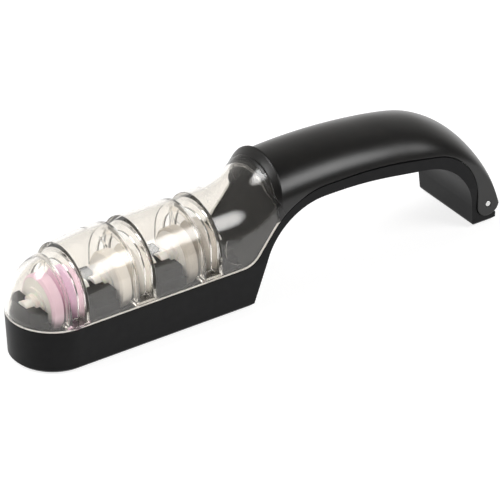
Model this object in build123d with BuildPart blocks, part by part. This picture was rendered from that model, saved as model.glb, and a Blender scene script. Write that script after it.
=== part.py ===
"""Pull through knife sharpener: a three stage water sharpener with a hinged lid.

Millimetres, +Z up. X runs along the body from the nose to the handle, Y across it.
The origin is the bottom centre of the box round the closed sharpener.
A blade is drawn along Y through one of the three slots, over a pair of wheels.
"""

from build123d import *
from math import cos, radians, sin, sqrt, tan
import os

os.makedirs("parts", exist_ok=True)

# Driving sizes of the whole body
overall_length = 244.8
body_width = 42.0
rim_height = 21.2  # top of the water trough's wall
wall = 2.2  # moulded wall of every casing
part_gap = 0.3  # between the lid and the base all round
overrun = 6.0  # how far a cutter runs past what it cuts

half_width = body_width / 2
nose_tip = -overall_length / 2
nose_axis = nose_tip + half_width
rear_end = overall_length / 2

# Sharpening stages: the fine one stands at the nose, the coarse one by the handle
stage_names = ["fine", "medium", "coarse"]
first_stage = 21.8  # from the nose tip
stage_pitch = 34.5
axle_height = 26.3
stage_places = [nose_tip + first_stage + stage_pitch * n for n in range(len(stage_names))]

# Hinge at the rear foot
hinge_height = 10.3
hinge_reach = 5.8  # from the pin's axis to the lid's rear face, the end of the whole
pin_radius = 1.5
pin_fit = 0.05  # running clearance in the lid's ears
pin_seat = 0.02  # clearance in the base's knuckle
pin_set_in = 0.2  # from the body's side to the pin's end
pin_chamfer = 0.3
ear_width = 6.2
ear_rise = 13.0
knuckle_radius = 3.8
hinge_x = rear_end - hinge_reach
ear_radius = hinge_reach
ear_inner = half_width - ear_width
knuckle_half = ear_inner - part_gap
pocket_front = hinge_x - ear_radius - part_gap
ledge_height = hinge_height - ear_radius - part_gap

# Base: the trough, the neck and the underside of the handle
draft = 1.1  # how much narrower each side is at the bottom
bottom_chamfer = 1.4
rear_corner = 1.0
lip_width = 0.9
lip_rise = 1.1
lip_root = 3.0
bottom_round = 2.4

# Line where the lid meets the base; distances along it are from the nose tip
neck_foot = 111.9
neck_rise_angle = 53.0
neck_foot_radius = 11.0
neck_top_radius = 35.0
seam_height = 49.3
seam_crown_share = 0.455  # of the way from the neck's top to the hinge's pocket
seam_crown_radius = 190.0
seam_rear_height = 39.3
seam_rear_radius = 28.0

# Underside of the neck, handle and foot
underside_foot = 112.4
underside_angle = 72.5
underside_tighter = 3.0  # how much tighter the underside bends than the seam over it
underside_front_radius = neck_top_radius - underside_tighter
underside_height = 44.5
underside_crown_share = 0.43  # of the way from the front bend to the foot's cove
underside_crown_radius = 190.0
underside_rear_height = 35.2
foot_cove_radius = 30.0
foot_length = 13.5
foot_face_angle = 86.0

# Deck that closes the handle's channel over the base
deck_drop = 1.2
deck_thickness = 1.4
deck_fit = 0.1
deck_start = 109.3  # from the nose tip, where its end wall stands in the trough

# Clear cover
cover_crest = 52.1
nose_crest = 49.9
nose_spring = 22.2
nose_profile_radius = 29.0
shoulder_run = 22.0  # from the nose's axis to where the ridge levels out
neck_start = 104.0
neck_flare_radius = 34.0
tongue_length = 2.2
tongue_thickness = 1.6
tongue_root = 1.2
tongue_fit = 0.1
scoop_place = 105.9
scoop_height = 33.5
scoop_radius = 8.7
scoop_depth = 1.1

# Collar where the black cover takes over from the clear one
collar_place = 127.3  # its ridge, at collar_height
collar_height = 50.0
collar_crest = 62.0
collar_lean = 10.0
collar_width = 2.7  # from the joint with the clear cover to the ridge
joint_knee_height = 51.0
joint_foot_set_back = 3.9
joint_foot_drop = 10.0

# Black cover of the handle
handle_crown = 15.4  # rise of the crown over the straight sides
hinge_crown = 0.4
crest_start = 127.6
crest_start_height = 60.9
crest_start_angle = 5.0
crest_turns = [15.5, 35.0, 44.5]
crest_steps = [5, 3, 3]  # sections along each bend of the ridge
crest_back_radius = 59.0
skirt_depth = 18.0

# Slots in the clear cover, each a funnel that guides the blade down to the wheels
mouth_width = 8.4
throat_width = 5.0
slot_depth = 6.6
slot_wall = 1.3
slot_floor = 22.9
slot_outset = 1.0  # how far the funnel's drawing runs past the cover's surface

# Wheel sets
wheel_radius = 13.0
wheel_face = 9.0  # from the stage's centre to a wheel's outer face
groove_half = 3.6  # half the groove's width at the rims
groove_root = 3.2  # radius where the two cones meet
groove_gap = 0.2
rim_chamfer = 0.9
sleeve_radius = 2.6
sleeve_fit = 0.05
flange_radius = 7.6
flange_width = 0.9
step_radius = 5.0
step_width = 2.1
journal_radius = 3.5
journal_end = 15.8
journal_fit = 0.06
axle_radius = 1.2
axle_fit = 0.03

# Cradle that carries the wheel sets over the water
saddle_start = 10.7  # from the stage's centre
saddle_end = 16.6
saddle_half_widths = [16.2, 14.4, 11.6]
saddle_heights = [20.4, 24.4, 28.3]
journal_end_gap = 0.3
cradle_gap = 0.4
rail_thickness = 1.5
rail_depth = 9.0
leg_width = 4.0
leg_arch_height = 11.0

# Pads under the trough and the foot
pad_thickness = 1.2
pad_proud = 0.4
pad_inset = 5.0
pad_width = 4.0
pad_fit = 0.1
foot_pad_length = 8.0


def along(distance):
    """X of a place that is measured from the nose tip."""
    return nose_tip + distance


def bend_radii(points, radii):
    """Radii for the bends of an outline, each no larger than its two legs leave room for."""
    vectors = [Vector(*b) - Vector(*a) for a, b in zip(points, points[1:])]
    turns = [radians(a.get_angle(b)) for a, b in zip(vectors, vectors[1:])]
    tangents = [radius * tan(turn / 2) for radius, turn in zip(radii, turns)]
    used = [a + b for a, b in zip([0, *tangents], [*tangents, 0])]
    room_shares = [min(1, leg.length / length) for leg, length in zip(vectors, used)]
    return [radius * min(before, after)
            for radius, before, after in zip(radii, room_shares, room_shares[1:])]


# Outlines that several pieces share


def plan_outline(inset, height):
    """The body from above: a round nose and a square rear, drawn in by inset."""
    with BuildSketch(Plane.XY.offset(height)) as outline:
        with BuildLine():
            nose = ThreePointArc(
                (nose_axis, half_width), (nose_tip, 0), (nose_axis, -half_width)
            )
            FilletPolyline(
                nose @ 1, (rear_end, -half_width), (rear_end, half_width), nose @ 0,
                radius=rear_corner,
            )
        make_face()
        if inset:
            offset(amount=-inset)
    return outline.sketch


def body_form(inset, ease=0):
    """The body's plan drawn up, with drafted sides below the rim, drawn in by inset."""
    floor = pad_proud
    rim = plan_outline(inset, rim_height)
    with BuildPart() as form:
        if ease:
            eased = plan_outline(inset + draft, floor + ease)
            loft(sections=[plan_outline(inset + draft + ease, floor), eased])
            loft(sections=[eased, rim])
        else:
            loft(sections=[plan_outline(inset + draft, floor), rim])
        extrude(rim, amount=seam_height)
    return form.part


def under_seam(inset):
    """Side profile of everything below the seam, drawn in from it by inset."""
    neck = along(neck_foot)
    neck_top = neck + (seam_height - rim_height) / tan(radians(neck_rise_angle))
    crown = neck_top + (pocket_front - neck_top) * seam_crown_share
    start = (nose_tip - overrun, rim_height)
    end = (rear_end + overrun, ledge_height)
    points = [
        start,
        (neck, rim_height),
        (neck_top, seam_height),
        (crown, seam_height),
        (pocket_front, seam_rear_height),
        (pocket_front, ledge_height),
        end,
    ]
    radii = [neck_foot_radius, neck_top_radius, seam_crown_radius, seam_rear_radius,
             ear_radius + part_gap]
    with BuildSketch(Plane.XZ) as region:
        with BuildLine():
            FilletPolyline(*points, radius=bend_radii(points, radii))
            Polyline(end, (end[0], -overrun), (start[0], -overrun), start)
        make_face()
        if inset:
            offset(amount=-inset)
    return region.sketch


def over_underside(inset):
    """Side profile of everything above the bottom and the handle's underside."""
    foot = along(underside_foot)
    top = foot + (underside_height - pad_proud) / tan(radians(underside_angle))
    toe = rear_end - foot_length
    cove = toe - (underside_rear_height - pad_proud) / tan(radians(foot_face_angle))
    crown = top + (cove - top) * underside_crown_share
    start = (nose_tip - overrun, pad_proud)
    end = (rear_end + overrun, pad_proud)
    high = seam_height + overrun
    points = [
        start,
        (foot, pad_proud),
        (top, underside_height),
        (crown, underside_height),
        (cove, underside_rear_height),
        (toe, pad_proud),
        end,
    ]
    radii = [bottom_round, underside_front_radius, underside_crown_radius, foot_cove_radius,
             bottom_round]
    with BuildSketch(Plane.XZ) as region:
        with BuildLine():
            FilletPolyline(*points, radius=bend_radii(points, radii))
            Polyline(end, (end[0], high), (start[0], high), start)
        make_face()
        if inset:
            offset(amount=-inset)
    return region.sketch


def across(profile):
    """A side profile drawn out past both sides of the body."""
    with BuildPart() as block:
        extrude(profile, amount=half_width + overrun, both=True)
    return block.part


def arch(x, reach, crest, crown):
    """Closed section across the body: straight sides under half an ellipse."""
    with BuildSketch(Plane.YZ.offset(x)) as section:
        with BuildLine():
            bow = EllipticalCenterArc((0, crest - crown), reach, crown, arc_size=180)
            Polyline(bow @ 1, (-reach, 0), (reach, 0), bow @ 0)
        make_face()
    return section.sketch


# Solid forms that shells and funnels are cut from


def ridge_height(x):
    """Ridge of the clear cover behind its nose: level, then flaring up to the collar."""
    run = x - along(neck_start)
    if run <= 0:
        return cover_crest
    return cover_crest + neck_flare_radius - sqrt(neck_flare_radius**2 - run**2)


def ridge_crown(x):
    """Rise of the clear cover's crown over its straight sides at x."""
    flare_share = (ridge_height(x) - cover_crest) / (collar_crest - cover_crest)
    return half_width + (handle_crown - half_width) * flare_share


def cover_form(inset):
    """Solid below the clear cover's surface, drawn in by inset, from nose to collar."""
    reach = half_width - inset
    shoulder = nose_axis + shoulder_run
    neck = along(neck_start)
    neck_run = along(collar_place) + overrun / 2 - neck
    steps = 4
    places = [neck + neck_run * n / steps for n in range(steps + 1)]
    level = arch(shoulder, reach, cover_crest - inset, reach)
    with BuildPart() as form:
        with BuildSketch(Plane.XZ):
            with BuildLine():
                side = (nose_axis - reach, nose_spring)
                top = (nose_axis, nose_crest - inset)
                RadiusArc(side, top, nose_profile_radius)
                Polyline(top, (nose_axis, 0), (nose_axis - reach, 0), side)
            make_face()
        revolve(axis=Axis((nose_axis, 0, 0), (0, 0, 1)))
        loft(sections=[arch(nose_axis, reach, nose_crest - inset, reach), level])
        extrude(level, amount=neck - shoulder)
        loft(sections=[arch(x, reach, ridge_height(x) - inset, ridge_crown(x) - inset)
                       for x in places])
    return form.part


def crest_radii():
    """Radii of the handle's ridge, set so that it ends upright behind the pin."""
    angles = [radians(crest_start_angle)]
    for turn in crest_turns:
        angles.append(angles[-1] - radians(turn))
    runs = [sin(a) - sin(b) for a, b in zip(angles, angles[1:])]
    falls = [cos(b) - cos(a) for a, b in zip(angles, angles[1:])]
    run = rear_end - along(crest_start) - crest_back_radius * runs[1]
    fall = hinge_height - crest_start_height - crest_back_radius * falls[1]
    scale = runs[0] * falls[2] - runs[2] * falls[0]
    top = (run * falls[2] - fall * runs[2]) / scale
    rear = (runs[0] * fall - falls[0] * run) / scale
    return [top, crest_back_radius, rear]


def crest_arcs():
    """Ridge of the handle: a short lead and three tangent arcs down to the hinge."""
    start = along(crest_start) - overrun
    rise = overrun * tan(radians(crest_start_angle))
    with BuildLine(Plane.XZ):
        arcs = [Line((start, crest_start_height - rise), (start + overrun, crest_start_height))]
        for radius, turn in zip(crest_radii(), crest_turns):
            arcs.append(JernArc(arcs[-1] @ 1, arcs[-1] % 1, radius, -turn))
    return arcs


def crest_stations():
    """Planes square to the ridge from before the collar to below the hinge, with the crowns."""
    lead, *arcs = crest_arcs()
    places = [(lead, 0, 0)]
    turned = -crest_turns[0]
    for arc, turn, steps in zip(arcs, crest_turns, crest_steps):
        places += [(arc, step / steps, turned + turn * step / steps) for step in range(steps)]
        turned += turn
    places.append((arcs[-1], 1, turned))
    stations = []
    for arc, share, turn in places:
        # The crown flattens behind the handle's top
        crown = handle_crown + (hinge_crown - handle_crown) * max(0, turn) / turned
        stations.append((Plane(arc @ share, x_dir=(0, 1, 0), z_dir=arc % share), crown))
    last, crown = stations[-1]
    stations.append((last.offset(overrun), crown))
    return stations


def handle_form(inset):
    """Solid inside the handle cover's surface, drawn in by inset."""
    reach = half_width - inset
    low = -handle_crown - skirt_depth - inset
    sections = []
    for place, crown in crest_stations():
        with BuildSketch(place) as section:
            with BuildLine():
                bow = EllipticalCenterArc((0, -crown - inset), reach, crown, arc_size=180)
                Polyline(bow @ 1, (-reach, low), (reach, low), bow @ 0)
            make_face()
        sections.append(section.sketch)
    with BuildPart() as form:
        loft(sections=sections)
    return form.part


def behind_collar(shift):
    """Side profile of everything behind the collar's ridge, moved back by shift."""
    lean = tan(radians(collar_lean))
    foot = along(collar_place) + shift - collar_height * lean
    high = collar_crest + overrun
    with BuildSketch(Plane.XZ) as region:
        with BuildLine():
            Polyline(
                (foot, 0),
                (foot + high * lean, high),
                (rear_end + overrun, high),
                (rear_end + overrun, 0),
                (foot, 0),
            )
        make_face()
    return region.sketch


def behind_joint(shift):
    """Side profile of everything behind the joint of the two covers, moved back by shift."""
    lean = tan(radians(collar_lean))
    ridge = along(collar_place) - collar_width + shift
    high = collar_crest + overrun
    knee = ridge + (joint_knee_height - collar_height) * lean
    low = joint_knee_height - joint_foot_drop
    foot = knee + joint_foot_set_back
    with BuildSketch(Plane.XZ) as region:
        with BuildLine():
            Polyline(
                (ridge + (high - collar_height) * lean, high),
                (knee, joint_knee_height),
                (foot, low),
                (foot, 0),
                (rear_end + overrun, 0),
                (rear_end + overrun, high),
                (ridge + (high - collar_height) * lean, high),
            )
        make_face()
    return region.sketch


def span(start, end, low, high, half):
    """A box from start to end along X, low to high up, and half to each side."""
    with BuildPart() as block:
        with BuildSketch(Plane.XZ):
            with Locations(((start + end) / 2, (low + high) / 2)):
                Rectangle(end - start, high - low)
        extrude(amount=half, both=True)
    return block.part


# What the base and the lid leave for each other
lid_edge = across(under_seam(-part_gap))
top_of_all = collar_crest + overrun
beyond_side = half_width + overrun

# Base tub: the trough, the neck and the lower half of the handle in one moulding
notch_half = mouth_width / 2 + slot_wall + slot_outset
lip_inset = wall + part_gap
lip_end = along(deck_start) - deck_thickness - part_gap

with BuildPart() as hollow:
    add(body_form(wall))
    add(across(over_underside(wall)), mode=Mode.INTERSECT)
    rear_wall = pocket_front - wall
    add(span(nose_tip, rear_wall, 0, top_of_all, beyond_side), mode=Mode.INTERSECT)


def ring(outer, inner, height):
    """Sketch of a band that follows the plan outline, between two insets."""
    with BuildSketch(Plane.XY.offset(height)) as band:
        add(plan_outline(outer, height))
        add(plan_outline(inner, height), mode=Mode.SUBTRACT)
    return band.sketch


with BuildPart() as lip:
    extrude(ring(wall / 2, lip_inset + lip_width, rim_height - lip_root), amount=lip_root)
    extrude(ring(lip_inset, lip_inset + lip_width, rim_height), amount=lip_rise)
    add(span(nose_tip, lip_end, 0, top_of_all, beyond_side), mode=Mode.INTERSECT)
    # Room for the shelves under the cover's slots
    for stage in stage_places:
        notch = span(stage - notch_half, stage + notch_half, rim_height, top_of_all, beyond_side)
        add(notch, mode=Mode.SUBTRACT)

with BuildPart() as knuckle:
    with BuildSketch(Plane.XZ):
        with Locations((hinge_x, hinge_height)):
            Circle(knuckle_radius)
        front = pocket_front - wall / 2
        back = hinge_x + knuckle_radius
        with Locations(((front + back) / 2, (ledge_height + hinge_height) / 2)):
            Rectangle(back - front, hinge_height - ledge_height)
    extrude(amount=knuckle_half, both=True)


def front_pad_form(fit):
    """Ring under the trough for the front pad, grown by fit."""
    end = along(underside_foot) - pad_inset + fit
    top = pad_thickness
    with BuildPart() as form:
        extrude(plan_outline(pad_inset - fit, 0), amount=top)
        extrude(plan_outline(pad_inset + pad_width + fit, 0), amount=top, mode=Mode.SUBTRACT)
        add(span(nose_tip, end, 0, top, beyond_side), mode=Mode.INTERSECT)
        add(span(end - pad_width - 2 * fit, end, 0, top, half_width - pad_inset + fit))
    return form.part


def foot_pad_form(fit):
    """Bar under the foot for the foot pad, grown by fit."""
    middle = rear_end - foot_length / 2
    reach = foot_pad_length / 2 + fit
    return span(middle - reach, middle + reach, 0, pad_thickness, half_width - pad_inset + fit)


with BuildPart() as base_tub:
    add(body_form(0, bottom_chamfer))
    add(across(under_seam(0)), mode=Mode.INTERSECT)
    add(across(over_underside(0)), mode=Mode.INTERSECT)
    add(hollow.part, mode=Mode.SUBTRACT)
    add(lip.part)
    add(knuckle.part)
    add(front_pad_form(pad_fit), mode=Mode.SUBTRACT)
    add(foot_pad_form(pad_fit), mode=Mode.SUBTRACT)
    with BuildSketch(Plane.XZ):
        with Locations((hinge_x, hinge_height)):
            Circle(pin_radius + pin_seat)
    extrude(amount=beyond_side, both=True, mode=Mode.SUBTRACT)
base_tub.part.label = "base_tub"
export_step(base_tub.part, "parts/base_tub.step")

# Pads
with BuildPart() as front_pad:
    add(front_pad_form(0))
front_pad.part.label = "front_pad"
export_step(front_pad.part, "parts/front_pad.step")

with BuildPart() as foot_pad:
    add(foot_pad_form(0))
foot_pad.part.label = "foot_pad"
export_step(foot_pad.part, "parts/foot_pad.step")

# Hinge pin
with BuildPart() as hinge_pin:
    with BuildSketch(Plane.XZ):
        with Locations((hinge_x, hinge_height)):
            Circle(pin_radius)
    extrude(amount=half_width - pin_set_in, both=True)
    ends = hinge_pin.faces().filter_by(Axis.Y)
    chamfer(ends.edges(), length=pin_chamfer)
hinge_pin.part.label = "hinge_pin"
export_step(hinge_pin.part, "parts/hinge_pin.step")

# Deck over the handle's channel, with a wall that closes the trough
trough_floor = pad_proud + wall
with BuildPart() as handle_deck:
    add(across(under_seam(deck_drop)))
    add(across(under_seam(deck_drop + deck_thickness)), mode=Mode.SUBTRACT)
    add(span(along(deck_start), rear_wall - deck_fit, 0, top_of_all, beyond_side),
        mode=Mode.INTERSECT)
    wall_top = rim_height - deck_drop - deck_thickness / 2
    wall_end = along(deck_start) + deck_thickness
    add(span(along(deck_start), wall_end, trough_floor, wall_top, beyond_side))
    add(body_form(wall + deck_fit), mode=Mode.INTERSECT)
    add(across(over_underside(wall)), mode=Mode.INTERSECT)
handle_deck.part.label = "handle_deck"
export_step(handle_deck.part, "parts/handle_deck.step")

# Cradle: rails and stepped saddles with a notch for each journal
rail_inset = wall + draft + cradle_gap
drum_reach = wheel_face + flange_width + step_width + cradle_gap
rail_top = saddle_heights[0]
cradle_start = stage_places[0] - saddle_end
cradle_end = stage_places[-1] + saddle_end
saddle_spans = [(cradle_start, stage_places[0] - saddle_start)]
for stage, following in zip(stage_places, stage_places[1:]):
    saddle_spans.append((stage + saddle_start, following - saddle_start))
saddle_spans.append((stage_places[-1] + saddle_start, cradle_end))

with BuildPart() as wheel_cradle:
    extrude(ring(rail_inset, rail_inset + rail_thickness, rail_top - rail_depth),
            amount=rail_depth)
    add(span(cradle_start, cradle_end, 0, top_of_all, beyond_side), mode=Mode.INTERSECT)
    for start, end in saddle_spans:
        for reach, height in zip(saddle_half_widths, saddle_heights):
            add(span(start, end, trough_floor, height, reach))
        # Water passes under the saddle between its legs
        leg_inner = saddle_half_widths[0] - leg_width
        add(span(start, end, trough_floor, trough_floor + leg_arch_height, leg_inner),
            mode=Mode.SUBTRACT)
    for stage in stage_places:
        notch_reach = journal_end + journal_end_gap
        with BuildSketch(Plane.YZ.offset(stage - notch_reach)):
            with Locations((0, axle_height)):
                Circle(journal_radius + journal_fit)
            with Locations((0, axle_height + overrun)):
                Rectangle(2 * (journal_radius + journal_fit), 2 * overrun)
        extrude(amount=2 * notch_reach, mode=Mode.SUBTRACT)
        # The hubs' drums turn in a wider notch
        with BuildSketch(Plane.YZ.offset(stage - drum_reach)):
            with Locations((0, axle_height)):
                Circle(step_radius + cradle_gap)
            with Locations((0, axle_height + overrun)):
                Rectangle(2 * (step_radius + cradle_gap), 2 * overrun)
        extrude(amount=2 * drum_reach, mode=Mode.SUBTRACT)
    add(body_form(rail_inset), mode=Mode.INTERSECT)
    add(cover_form(wall + part_gap), mode=Mode.INTERSECT)
wheel_cradle.part.label = "wheel_cradle"
export_step(wheel_cradle.part, "parts/wheel_cradle.step")


# Wheel sets: an axle, two hubs and two wheels on each stage


def across_axle(stage, points, side):
    """Piece turned round a stage's axle from points of distance and radius."""
    place = Plane(origin=(stage, 0, axle_height), x_dir=(side, 0, 0), z_dir=(0, -side, 0))
    with BuildPart() as turned:
        with BuildSketch(place):
            with BuildLine():
                Polyline(*points, close=True)
            make_face()
        revolve(axis=Axis((stage, 0, axle_height), (1, 0, 0)))
    return turned.part


sleeve_bore = axle_radius + axle_fit
wheel_bore = sleeve_radius + sleeve_fit
flange_face = wheel_face + flange_width
step_face = flange_face + step_width
wheel_points = [
    (groove_gap, wheel_bore),
    (groove_gap, groove_root),
    (groove_half, wheel_radius),
    (wheel_face - rim_chamfer, wheel_radius),
    (wheel_face, wheel_radius - rim_chamfer),
    (wheel_face, wheel_bore),
]
hub_points = [
    (groove_gap, sleeve_bore),
    (groove_gap, sleeve_radius),
    (wheel_face, sleeve_radius),
    (wheel_face, flange_radius),
    (flange_face, flange_radius),
    (flange_face, step_radius),
    (step_face, step_radius),
    (step_face, journal_radius),
    (journal_end, journal_radius),
    (journal_end, sleeve_bore),
]
axle_points = [
    (-journal_end, 0), (-journal_end, axle_radius), (journal_end, axle_radius), (journal_end, 0)
]

for stage_name, stage in zip(stage_names, stage_places):
    pieces = {f"{stage_name}_axle": (axle_points, 1)}
    for hand, side in (("left", -1), ("right", 1)):
        pieces[f"{stage_name}_{hand}_wheel"] = (wheel_points, side)
        pieces[f"{stage_name}_{hand}_hub"] = (hub_points, side)
    for node, (points, side) in pieces.items():
        turned = across_axle(stage, points, side)
        turned.label = node
        export_step(turned, f"parts/{node}.step")


# Clear cover with its three slots


def slot_crest(place):
    """Ridge height of the clear cover at a slot."""
    climb_share = min(1, (place - nose_axis) / shoulder_run)
    return nose_crest + (cover_crest - nose_crest) * climb_share


def funnel_wall(place, side, shift):
    """Arched solid whose slanting face is one wall of a slot, moved back by shift."""
    slope_share = (mouth_width - throat_width) / 2 / slot_depth
    near = place + side * (throat_width / 2 + shift)
    far = near + side * slope_share * (slot_depth + slot_outset)
    low, high = half_width - slot_depth, half_width + slot_outset
    middle = slot_crest(place) - half_width
    with BuildPart() as wall_form:
        loft(sections=[arch(near, low, middle + low, low), arch(far, high, middle + high, high)])
    return wall_form.part


def slot_frame(place):
    """Both walls of a slot and the shelf that closes its bottom."""
    inner = half_width - slot_depth
    outer = mouth_width / 2 + slot_wall
    low = rim_height + part_gap
    with BuildPart() as frame:
        for side in (-1, 1):
            add(funnel_wall(place, side, 0))
        for side in (-1, 1):
            add(funnel_wall(place, side, slot_wall), mode=Mode.SUBTRACT)
        add(span(place - outer, place + outer, low, slot_floor, half_width))
        tunnel = arch(place - notch_half, inner, slot_crest(place) - slot_depth, inner)
        extrude(tunnel, amount=2 * notch_half, mode=Mode.SUBTRACT)
        add(outer_form, mode=Mode.INTERSECT)
    return frame.part


def slot_void(place):
    """Space that the blade drops through."""
    half = mouth_width / 2
    with BuildPart() as void:
        add(span(place - half, place + half, slot_floor, top_of_all, beyond_side))
        for side in (-1, 1):
            add(funnel_wall(place, side, 0), mode=Mode.SUBTRACT)
    return void.part


def tongue_form():
    """Lip behind the joint that slides under the black cover."""
    low = wall + tongue_fit
    with BuildPart() as tongue:
        add(cover_form(low))
        add(across(behind_joint(-tongue_root)), mode=Mode.INTERSECT)
        add(across(behind_joint(tongue_length)), mode=Mode.SUBTRACT)
    with BuildPart() as root:
        add(cover_form(wall / 2))
        add(across(behind_joint(-tongue_root)), mode=Mode.INTERSECT)
        add(across(behind_joint(0)), mode=Mode.SUBTRACT)
        add(tongue.part)
        add(cover_form(low + tongue_thickness), mode=Mode.SUBTRACT)
    return root.part


outer_form = cover_form(0)
with BuildPart() as clear_cover:
    add(outer_form)
    add(cover_form(wall), mode=Mode.SUBTRACT)
    for place in stage_places:
        add(slot_frame(place))
    add(across(behind_joint(0)), mode=Mode.SUBTRACT)
    add(tongue_form())
    add(lid_edge, mode=Mode.SUBTRACT)
    for place in stage_places:
        add(slot_void(place), mode=Mode.SUBTRACT)
    # Thumb scoops, deepest at the upper front edge
    for side in (-1, 1):
        tilt = scoop_depth / 2 / scoop_radius
        floor = Plane(
            origin=(along(scoop_place), side * (half_width - scoop_depth / 2), scoop_height),
            x_dir=(1, 0, 0),
            z_dir=(-tilt, side, tilt),
        )
        with BuildSketch(floor):
            Circle(scoop_radius)
        extrude(amount=overrun, mode=Mode.SUBTRACT)
clear_cover.part.label = "clear_cover"
export_step(clear_cover.part, "parts/clear_cover.step")

# Black cover of the handle, with its collar and hinge ears
with BuildPart() as collar:
    add(outer_form)
    add(across(behind_joint(0)), mode=Mode.INTERSECT)
    add(cover_form(wall), mode=Mode.SUBTRACT)
    add(across(behind_collar(0)), mode=Mode.SUBTRACT)

handle_outside = handle_form(0)
with BuildPart() as ears:
    with BuildSketch(Plane.XZ):
        with Locations((hinge_x, hinge_height)):
            Circle(ear_radius)
        with Locations((hinge_x, hinge_height + ear_rise / 2)):
            Rectangle(2 * ear_radius, ear_rise)
    extrude(amount=half_width, both=True)
    add(span(0, rear_end, 0, top_of_all, ear_inner), mode=Mode.SUBTRACT)
    add(handle_outside, mode=Mode.INTERSECT)

with BuildPart() as handle_cover:
    add(handle_outside)
    add(across(behind_collar(0)), mode=Mode.INTERSECT)
    add(across(behind_joint(0)), mode=Mode.INTERSECT)
    add(handle_form(wall), mode=Mode.SUBTRACT)
    # Behind the pin the lid stops at the pin's height, and between the ears above the knuckle
    past_end = rear_end + overrun
    add(span(pocket_front, past_end, 0, hinge_height, beyond_side), mode=Mode.SUBTRACT)
    knuckle_top = hinge_height + knuckle_radius + part_gap
    add(span(pocket_front, past_end, 0, knuckle_top, ear_inner), mode=Mode.SUBTRACT)
    add(ears.part)
    add(collar.part)
    add(lid_edge, mode=Mode.SUBTRACT)
    with BuildSketch(Plane.XZ):
        with Locations((hinge_x, hinge_height)):
            Circle(pin_radius + pin_fit)
    extrude(amount=beyond_side, both=True, mode=Mode.SUBTRACT)
handle_cover.part.label = "handle_cover"
export_step(handle_cover.part, "parts/handle_cover.step")
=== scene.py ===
# %% [markdown]
# ## Start from the imported model
# The sharpener's pieces were built at their real size in CAD. They could be modelled again in Blender,
# but then two models would have to be kept alike. So the CAD pieces are loaded and dressed: every
# piece gets a finish, and nothing is moved.

# %% Load the frame
import math

import bpy
from mathutils import Matrix, Vector

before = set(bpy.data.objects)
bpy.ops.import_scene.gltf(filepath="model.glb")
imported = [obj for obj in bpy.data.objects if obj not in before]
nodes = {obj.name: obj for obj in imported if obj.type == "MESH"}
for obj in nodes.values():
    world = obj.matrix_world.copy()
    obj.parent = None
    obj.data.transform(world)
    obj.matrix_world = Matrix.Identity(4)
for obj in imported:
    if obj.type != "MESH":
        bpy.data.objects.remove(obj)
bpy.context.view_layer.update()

# %% [markdown]
# ## Camera
# A product photo like this one is taken from far away with a long lens, so the body's edges stay
# nearly parallel. A camera close by with a wide lens would make the nose look swollen. So the camera
# stands a few metres off, beside the body and some way round towards its nose, and looks down on it.
# It aims at a point in the open space under the neck. That puts the sharpener where it lies in the
# photo, so no lens shift is needed.

# %% Camera
mm = 0.001
azimuth = math.radians(-34.842)
elevation = math.radians(31.331)
roll = math.radians(0.12)
camera_distance = 2733.0 * mm
aim_point = Vector((1.81, 0.0, 15.19)) * mm
sensor_width = 36.0
picture_width_in_pixels = 500
focal_length_in_pixels = 6217.1
far_clip = 100.0

away = Vector((
    math.sin(azimuth) * math.cos(elevation),
    -math.cos(azimuth) * math.cos(elevation),
    math.sin(elevation),
))
camera_data = bpy.data.cameras.new("camera")
camera_data.sensor_width = sensor_width
camera_data.lens = focal_length_in_pixels * sensor_width / picture_width_in_pixels
camera_data.clip_end = far_clip
camera = bpy.data.objects.new("camera", camera_data)
bpy.context.scene.collection.objects.link(camera)
camera.location = away * camera_distance
look = (aim_point - camera.location).to_track_quat("-Z", "Y").to_matrix().to_4x4()
camera.matrix_world = Matrix.Translation(camera.location) @ look @ Matrix.Rotation(roll, 4, "Z")
bpy.context.scene.camera = camera
print("camera at", tuple(round(v, 3) for v in camera.location), "lens", round(camera_data.lens, 1))

# %% [markdown]
# ## Floor
# The sharpener stands on a white sweep. In Blender that can be a curved backdrop, or one flat sheet so
# wide that its rim stays out of the picture. The flat sheet is enough here, because the camera looks
# down on it. It gets its white finish further on, with the other finishes.

# %% Floor
floor_half = 3.0

floor_mesh = bpy.data.meshes.new("floor")
floor_corners = [
    (-floor_half, -floor_half, 0), (floor_half, -floor_half, 0),
    (floor_half, floor_half, 0), (-floor_half, floor_half, 0),
]
floor_mesh.from_pydata(floor_corners, [], [range(len(floor_corners))])
floor = bpy.data.objects.new("floor", floor_mesh)
bpy.context.scene.collection.objects.link(floor)
print("floor:", 2 * floor_half, "m wide")

# %% [markdown]
# ## Studio walls
# Black plastic shows almost nothing but what it reflects, so the room matters more than any lamp. The
# pale walls give the handle's curved flanks their grey. The wall on the photographer's side is dark,
# and so is the ceiling, which keeps the clear cover from turning milky and the faces that look up
# from turning grey. Real walls would need meshes far away, with light on them. The world's own colour
# does the same with two ramps over the height of a direction, one for the pale walls and one for the
# dark side, and a soft step between them.

# %% World
world = bpy.data.worlds.new("studio")
bpy.context.scene.world = world
world.use_nodes = True
world_tree = world.node_tree
direction = world_tree.nodes.new("ShaderNodeTexCoord")
height = world_tree.nodes.new("ShaderNodeSeparateXYZ")
world_tree.links.new(direction.outputs["Generated"], height.inputs[0])
print("world:", world.name)

# %% Helper for a wall's colour
wall_tint = (1.0, 0.985, 0.96)


def height_ramp(stop_list):
    """The wall's colour over the height of the direction, from level to straight up."""
    ramp = world_tree.nodes.new("ShaderNodeValToRGB")
    stops = ramp.color_ramp.elements
    while len(stops) < len(stop_list):
        stops.new(1.0)
    for stop, (place, level) in zip(stops, stop_list):
        stop.position = place
        stop.color = (*(level * tint for tint in wall_tint), 1)
    world_tree.links.new(height.outputs["Z"], ramp.inputs["Fac"])
    return ramp.outputs["Color"]


print("helper: height_ramp")


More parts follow.
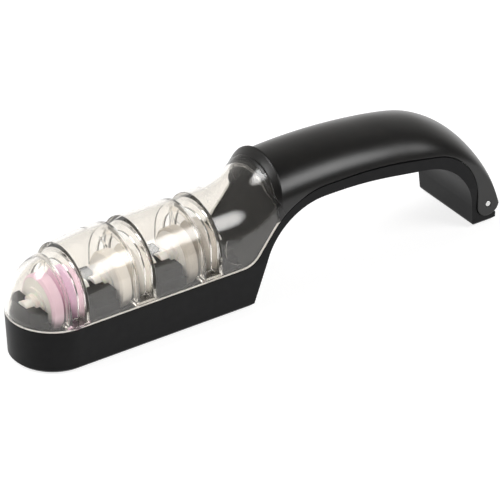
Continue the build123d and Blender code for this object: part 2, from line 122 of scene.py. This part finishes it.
# %% Helper for a soft lobe
def soft_lobe(middle, start, full, level):
    """A value that grows from nothing to level as the direction nears the middle one."""
    facing = world_tree.nodes.new("ShaderNodeVectorMath")
    facing.operation = "DOT_PRODUCT"
    facing.inputs[1].default_value = middle
    world_tree.links.new(direction.outputs["Generated"], facing.inputs[0])
    lobe = world_tree.nodes.new("ShaderNodeMapRange")
    lobe.interpolation_type = "SMOOTHSTEP"
    lobe.inputs["From Min"].default_value = start
    lobe.inputs["From Max"].default_value = full
    lobe.inputs["To Max"].default_value = level
    world_tree.links.new(facing.outputs["Value"], lobe.inputs["Value"])
    return lobe.outputs["Result"]


print("helper: soft_lobe")

# %% Walls
open_stops = [(0.0, 0.95), (0.3, 0.62), (0.7, 0.40), (1.0, 0.12)]  # height and brightness
dark_stops = [(0.0, 0.35), (0.15, 0.08), (0.7, 0.08), (1.0, 0.12)]
dark_side = (0.17, -0.98, 0.0)
dark_from, dark_full = -0.25, 0.35  # cosines of the angle to the middle of the dark side

walls = world_tree.nodes.new("ShaderNodeMix")
walls.data_type = "RGBA"
wall_sockets = {socket.identifier: socket for socket in [*walls.inputs, *walls.outputs]}
dark_share = soft_lobe(dark_side, dark_from, dark_full, level=1.0)
world_tree.links.new(dark_share, wall_sockets["Factor_Float"])
world_tree.links.new(height_ramp(open_stops), wall_sockets["A_Color"])
world_tree.links.new(height_ramp(dark_stops), wall_sockets["B_Color"])
print("wall stops:", len(open_stops) + len(dark_stops))

# %% [markdown]
# ## Glowing panels
# Two light panels leave the bright patches on the shoulders of the clear cover's neck and the long
# sheen on the handle. An area lamp would give them hard edges, and its reflection would show a plain
# rectangle. A soft lobe added to the walls' light has no edge at all, like a lamp behind a diffuser,
# and it lights the part as well.

# %% Panels
panels = [
    ((0.47, -0.57, 0.67), 0.94, 8.0),  # direction, cosine at its rim, brightness at its middle
    ((-0.52, 0.26, 0.81), 0.965, 12.0),
]

light = wall_sockets["Result_Color"]
for toward, rim, level in panels:
    total = world_tree.nodes.new("ShaderNodeVectorMath")
    total.operation = "ADD"
    world_tree.links.new(light, total.inputs[0])
    glow = soft_lobe(Vector(toward).normalized(), start=rim, full=1.0, level=level)
    world_tree.links.new(glow, total.inputs[1])
    light = total.outputs["Vector"]
world_tree.links.new(light, world_tree.nodes["Background"].inputs["Color"])
print("panels:", len(panels))

# %% [markdown]
# ## From light to picture
# The photo's background is burnt out to plain white. Blender can show light in several ways: the
# AgX view rolls bright light off softly, as film does, and would leave this background grey. The
# Standard view shows white as white. The denoiser smooths the grain that the clear cover's many
# bounces of light leave in a short render.

# %% View
scene = bpy.context.scene
scene.view_settings.view_transform = "Standard"
scene.cycles.use_denoising = True
print("view:", scene.view_settings.view_transform)

# %% [markdown]
# ## Finishes
# Each finish is one node material. A moulded plastic is never one flat colour: its gloss wanders a
# little where the mould was polished less, and a fine spark texture breaks up the highlight. So one
# helper adds noise to the roughness and a small bump to every finish, and another lets the colour
# wander between two tones. A sharp CAD edge catches no highlight and a moulded one does, so the first
# helper can also round the edges in the shading, which leaves the mesh as it is.


# %% Helper for a finish
def finish(name, roughness, spread, patch_mm, grain_mm, grain_depth_mm, edge_mm=0.0):
    """A Principled material with patchy gloss, a fine grain and, where edge_mm asks, rounded edges."""
    material = bpy.data.materials.new(name)
    material.use_nodes = True
    tree = material.node_tree
    shader = tree.nodes["Principled BSDF"]
    place = tree.nodes.new("ShaderNodeTexCoord")
    patches = tree.nodes.new("ShaderNodeTexNoise")
    patches.inputs["Scale"].default_value = 1 / (patch_mm * mm)
    gloss = tree.nodes.new("ShaderNodeMapRange")
    gloss.inputs["To Min"].default_value = roughness - spread
    gloss.inputs["To Max"].default_value = roughness + spread
    grain = tree.nodes.new("ShaderNodeTexNoise")
    grain.inputs["Scale"].default_value = 1 / (grain_mm * mm)
    bump = tree.nodes.new("ShaderNodeBump")
    bump.inputs["Strength"].default_value = 1.0
    bump.inputs["Distance"].default_value = grain_depth_mm * mm
    for noise in (patches, grain):
        tree.links.new(place.outputs["Object"], noise.inputs["Vector"])
    tree.links.new(patches.outputs["Fac"], gloss.inputs["Value"])
    tree.links.new(gloss.outputs["Result"], shader.inputs["Roughness"])
    tree.links.new(grain.outputs["Fac"], bump.inputs["Height"])
    tree.links.new(bump.outputs["Normal"], shader.inputs["Normal"])
    if edge_mm:
        rounding = tree.nodes.new("ShaderNodeBevel")
        rounding.inputs["Radius"].default_value = edge_mm * mm
        tree.links.new(rounding.outputs["Normal"], bump.inputs["Normal"])
    return material, shader


print("helper: finish")

# %% Helper for a colour in two tones
mottle_detail = 6.0
ramp_middle = 0.5


def mottle(material, shader, dark, light, patch_mm, contrast=0.5):
    """Colour that wanders between two tones in soft patches."""
    tree = material.node_tree
    place = tree.nodes.new("ShaderNodeTexCoord")
    noise = tree.nodes.new("ShaderNodeTexNoise")
    noise.inputs["Scale"].default_value = 1 / (patch_mm * mm)
    noise.inputs["Detail"].default_value = mottle_detail
    tones = tree.nodes.new("ShaderNodeValToRGB")
    ends = tones.color_ramp.elements
    ends[0].position = ramp_middle - contrast / 2
    ends[1].position = ramp_middle + contrast / 2
    ends[0].color = (*dark, 1)
    ends[1].color = (*light, 1)
    tree.links.new(place.outputs["Object"], noise.inputs["Vector"])
    tree.links.new(noise.outputs["Fac"], tones.inputs["Fac"])
    tree.links.new(tones.outputs["Color"], shader.inputs["Base Color"])


print("helper: mottle")

# %% [markdown]
# ## White sweep
# The floor should burn out to white and still take a faint shadow under the sharpener. White paint
# alone would need lamps so strong that the black plastic turned grey. So the floor is a middle grey
# with a glow of its own: the glow makes it white, and the grey paint is what takes the shadow.

# %% Floor finish
floor_glow = 0.82

floor_finish, shader = finish("white_sweep", roughness=0.9, spread=0.03, patch_mm=60,
                              grain_mm=4, grain_depth_mm=0.02)
mottle(floor_finish, shader, dark=(0.38, 0.38, 0.38), light=(0.40, 0.40, 0.40), patch_mm=200)
shader.inputs["Emission Color"].default_value = (1.0, 1.0, 1.0, 1)
shader.inputs["Emission Strength"].default_value = floor_glow
floor.data.materials.append(floor_finish)
print("floor glow:", floor_glow)

# %% [markdown]
# ## Black plastics
# The trough and the handle's underside come from one mould with a fine matt texture, so they show as
# an even dark grey. The handle's cover is polished more and carries a long soft highlight. One black
# finish for both would be less work, but no single roughness gives a matt side and that highlight. So
# each has its own roughness and mirrors its own share of the light. The handle cover's rounded
# shading is wider, because its collar has a soft bead.

# %% Black plastics
casing, shader = finish("black_casing", roughness=0.38, spread=0.03, patch_mm=9,
                        grain_mm=0.35, grain_depth_mm=0.004, edge_mm=0.4)
mottle(casing, shader, dark=(0.003, 0.003, 0.0035), light=(0.006, 0.006, 0.0065), patch_mm=4)
shader.inputs["Specular IOR Level"].default_value = 0.13

gloss_black, shader = finish("black_gloss", roughness=0.30, spread=0.03, patch_mm=12,
                             grain_mm=0.5, grain_depth_mm=0.003, edge_mm=0.9)
mottle(gloss_black, shader, dark=(0.006, 0.006, 0.006), light=(0.010, 0.009, 0.008), patch_mm=6)
shader.inputs["Specular IOR Level"].default_value = 0.45
print("black finishes:", casing.name, gloss_black.name)

# %% [markdown]
# ## Clear plastic
# The cover is a clear moulding with a warm cast, and its walls bend what is seen through them. That
# asks for real transmission on a shell with two sides, and not for a thin see-through skin. Light that
# comes through such a shell is slow to find its way in a render, and the wheels under it would stay
# too dark. So rays that only ask whether light gets through pass the shell unbent and a little dimmed.

# %% Clear plastic
plastic_ior = 1.49
passing_share = 0.9
passing_tint = (0.97, 0.95, 0.92, 1)

clear, shader = finish("clear_plastic", roughness=0.03, spread=0.015, patch_mm=14,
                       grain_mm=5, grain_depth_mm=0.006, edge_mm=0.5)
shader.inputs["Base Color"].default_value = (0.96, 0.935, 0.895, 1)
shader.inputs["Transmission Weight"].default_value = 0.988
shader.inputs["IOR"].default_value = plastic_ior

clear_tree = clear.node_tree
ray = clear_tree.nodes.new("ShaderNodeLightPath")
passing = clear_tree.nodes.new("ShaderNodeMath")
passing.operation = "MULTIPLY"
passing.inputs[1].default_value = passing_share
see_through = clear_tree.nodes.new("ShaderNodeBsdfTransparent")
see_through.inputs["Color"].default_value = passing_tint
blend = clear_tree.nodes.new("ShaderNodeMixShader")
clear_tree.links.new(ray.outputs["Is Shadow Ray"], passing.inputs[0])
clear_tree.links.new(passing.outputs["Value"], blend.inputs["Fac"])
clear_tree.links.new(shader.outputs["BSDF"], blend.inputs[1])
clear_tree.links.new(see_through.outputs["BSDF"], blend.inputs[2])
clear_tree.links.new(blend.outputs["Shader"], clear_tree.nodes["Material Output"].inputs["Surface"])
print("clear plastic bends light by", plastic_ior)

# %% [markdown]
# ## Painted glow on the clear cover's edge
# Where the cover meets the trough, a thin pale line runs round the body. It is light that comes down
# through the cover's wall and shows at its lower edge. A separate pale strip would show the same line,
# but would be a piece that the object doesn't have. So the edge gets a finish of its own with that
# light painted in: mostly white, with a little of the plastic's clearness.

# %% Pale edge with painted glow
# Painted light: the pale colour stands in for the glow of light through the cover's lower edge.
painted_glow_edge, shader = finish("clear_edge_painted_glow", roughness=0.45, spread=0.05, patch_mm=3,
                            grain_mm=0.3, grain_depth_mm=0.01)
mottle(painted_glow_edge, shader, dark=(0.86, 0.84, 0.80), light=(0.95, 0.94, 0.91), patch_mm=2)
shader.inputs["Transmission Weight"].default_value = 0.25
shader.inputs["IOR"].default_value = plastic_ior
print("edge finish:", painted_glow_edge.name)

# %% [markdown]
# ## Hubs, steel and pads
# The hubs are white plastic, which lets a little light in under its skin. The axles and the hinge pin
# are ground steel, so they are metal with a very fine grain. The pads under the base are black rubber,
# matt and grippy, and hardly seen except from below. Pictures of such surfaces could be wrapped round
# these pieces, but the pieces show no pattern, so noise does as well.

# %% White hubs, steel and pads
white, shader = finish("white_hub", roughness=0.32, spread=0.05, patch_mm=3,
                       grain_mm=0.3, grain_depth_mm=0.003)
mottle(white, shader, dark=(0.88, 0.87, 0.85), light=(0.95, 0.95, 0.93), patch_mm=3)
shader.inputs["Subsurface Weight"].default_value = 0.15
shader.inputs["Subsurface Scale"].default_value = 1.0 * mm

steel, shader = finish("pin_steel", roughness=0.28, spread=0.06, patch_mm=1,
                       grain_mm=0.12, grain_depth_mm=0.003)
mottle(steel, shader, dark=(0.55, 0.55, 0.54), light=(0.78, 0.78, 0.77), patch_mm=0.8)
shader.inputs["Metallic"].default_value = 1.0

rubber, shader = finish("rubber_pad", roughness=0.72, spread=0.06, patch_mm=5,
                        grain_mm=0.25, grain_depth_mm=0.02)
mottle(rubber, shader, dark=(0.012, 0.012, 0.012), light=(0.022, 0.022, 0.022), patch_mm=2)
print("small finishes:", white.name, steel.name, rubber.name)

# %% [markdown]
# ## Ceramic wheels
# The three pairs of wheels go from fine to coarse: pink, off-white and tan. They are grit bound in
# ceramic, so each is matt and speckled, and the speckle grows with the grit. Three finishes written
# out one by one would repeat the same lines, so one helper makes all three, and a table holds what
# tells them apart.

# %% Ceramic wheels
grits = {
    "fine": ((0.88, 0.60, 0.76), (0.97, 0.79, 0.90), 0.12),  # darker tone, lighter tone, grain in mm
    "medium": ((0.86, 0.83, 0.78), (0.95, 0.93, 0.89), 0.2),
    "coarse": ((0.50, 0.47, 0.43), (0.70, 0.66, 0.61), 0.35),
}


def stone(name, dark, light, grain_mm):
    """Matt abrasive ceramic with a speckle as fine as its grit."""
    material, shader = finish(name, roughness=0.62, spread=0.06, patch_mm=3,
                              grain_mm=grain_mm, grain_depth_mm=0.03)
    mottle(material, shader, dark, light, patch_mm=0.6, contrast=0.6)
    return material


stones = {stage: stone(f"{stage}_stone", *looks) for stage, looks in grits.items()}
print("stones:", [material.name for material in stones.values()])

# %% [markdown]
# ## Dress the pieces
# Every CAD piece now gets its finish. Its faces are shaded smooth, so that the curves don't show their
# facets, and edges sharper than a set angle stay crisp. An auto-smooth modifier could do that as well,
# but marking the sharp edges once is simpler and adds nothing to the piece.

# %% A finish for each node
hands = {"left": -1, "right": 1}  # the way each wheel of a pair faces outward along X

finishes = {
    "base_tub": casing, "wheel_cradle": casing, "handle_deck": casing,
    "front_pad": rubber, "foot_pad": rubber, "hinge_pin": steel,
    "clear_cover": clear, "handle_cover": gloss_black,
}
for stage, wheel_finish in stones.items():
    finishes[f"{stage}_axle"] = steel
    for hand in hands:
        finishes[f"{stage}_{hand}_hub"] = white
        finishes[f"{stage}_{hand}_wheel"] = wheel_finish
print("finishes for", len(finishes), "nodes")

# %% Dress the CAD nodes
sharp_angle = math.radians(32)

for name, piece in nodes.items():
    piece.data.materials.clear()
    piece.data.materials.append(finishes[name])
    for face in piece.data.polygons:
        face.use_smooth = True
        face.material_index = 0
    piece.data.set_sharp_from_angle(angle=sharp_angle)
print("dressed", len(nodes), "nodes")

# %% [markdown]
# ## White discs of the hubs
# Seen through the cover, each hub seems to end in a white disc that hides most of its wheel's outer
# side. The CAD hub has a smaller flange. A wider disc could be a mesh of its own, but its thickness
# can't be seen, so the rest of it is drawn in the finish: the distance from the axle chooses between
# white and the stone's tone. Only the outward faces of a wheel get this finish.

# %% Middle of the discs
axle_heights = [corner.co.z for corner in nodes["fine_axle"].data.vertices]
axle_height = (min(axle_heights) + max(axle_heights)) / 2
print("axle height", round(axle_height / mm, 2), "mm")

# %% Helper for a disc's finish
disc_radius = 12.0 * mm
disc_fade = 0.6 * mm
disc_white = (0.93, 0.92, 0.90)


def disc_finish(name, stone_tone):
    """A white disc about the axle with the stone's tone round it."""
    material, shader = finish(name, roughness=0.45, spread=0.06, patch_mm=3,
                              grain_mm=0.2, grain_depth_mm=0.01)
    tree = material.node_tree
    place = tree.nodes.new("ShaderNodeTexCoord")
    from_axle = tree.nodes.new("ShaderNodeVectorMath")
    from_axle.operation = "SUBTRACT"
    from_axle.inputs[1].default_value = (0, 0, axle_height)
    across = tree.nodes.new("ShaderNodeVectorMath")
    across.operation = "MULTIPLY"
    across.inputs[1].default_value = (0, 1, 1)
    reach = tree.nodes.new("ShaderNodeVectorMath")
    reach.operation = "LENGTH"
    rim = tree.nodes.new("ShaderNodeMapRange")
    rim.interpolation_type = "SMOOTHSTEP"
    rim.inputs["From Min"].default_value = disc_radius - disc_fade
    rim.inputs["From Max"].default_value = disc_radius
    tones = tree.nodes.new("ShaderNodeValToRGB")
    tones.color_ramp.elements[0].color = (*disc_white, 1)
    tones.color_ramp.elements[1].color = (*stone_tone, 1)
    tree.links.new(place.outputs["Object"], from_axle.inputs[0])
    tree.links.new(from_axle.outputs["Vector"], across.inputs[0])
    tree.links.new(across.outputs["Vector"], reach.inputs[0])
    tree.links.new(reach.outputs["Value"], rim.inputs["Value"])
    tree.links.new(rim.outputs["Result"], tones.inputs["Fac"])
    tree.links.new(tones.outputs["Color"], shader.inputs["Base Color"])
    return material


print("helper: disc_finish")


# %% Helper for a second finish
def wear(piece, material, belongs):
    """Give a second finish to the faces of a piece that belong to it, and count them."""
    piece.data.materials.append(material)
    slot = len(piece.data.materials) - 1
    count = 0
    for face in piece.data.polygons:
        if belongs(face):
            face.material_index = slot
            count += 1
    print(piece.name, "wears", material.name, "on", count, "faces")


print("helper: wear")

# %% White discs
outward_least = 0.9  # least share of a face's normal that points outward

for stage, (dark, light, _) in grits.items():
    middle_tone = [(a + b) / 2 for a, b in zip(dark, light)]
    disc = disc_finish(f"{stage}_disc", middle_tone)
    for hand, outward in hands.items():
        wear(nodes[f"{stage}_{hand}_wheel"], disc,
             lambda face: face.normal.x * outward > outward_least)

# %% [markdown]
# ## Edge and seat of the cover
# Two parts of the clear cover wear another finish. Its lower edge gets the pale one: those are the
# faces that look down and lie outside the inner wall, which round the nose means a circle and behind
# it a straight side. Its tongue sits under the collar, where only black is to be seen. Left clear, it
# would show a row of glints along the joint, so the tongue is given the collar's black. The faces
# could be picked by hand in edit mode, but found by their place, they need no new picking when the
# body's length or width changes.

# %% Places on the cover
cover = nodes["clear_cover"]
corners = cover.data.vertices
tub_corners = nodes["base_tub"].data.vertices
half_width = max(corner.co.y for corner in tub_corners)
nose_axis_x = min(corner.co.x for corner in tub_corners) + half_width
collar_front = min(corner.co.x for corner in nodes["handle_cover"].data.vertices)
print("nose axis at", round(nose_axis_x / mm, 2), "and collar at", round(collar_front / mm, 2), "mm")

# %% Edge and seat of the cover
edge_depth = 2.25 * mm  # from the body's outside in to just past the cover's inner wall
downward_least = 0.25  # least share of a face's normal that points down
seat_slack = 0.05 * mm
edge_reach = half_width - edge_depth


def on_lower_edge(face):
    """True for the downward faces that lie outside the cover's inner wall."""
    ahead = min(0.0, face.center.x - nose_axis_x)
    return face.normal.z < -downward_least and math.hypot(ahead, face.center.y) > edge_reach


def under_collar(face):
    """True for the faces of the tongue, which lie behind the collar's front."""
    return min(corners[i].co.x for i in face.vertices) > collar_front - seat_slack


# The lower edge wears the painted glow, a pale colour that stands in for light through the wall.
wear(cover, painted_glow_edge, on_lower_edge)
wear(cover, gloss_black, under_collar)
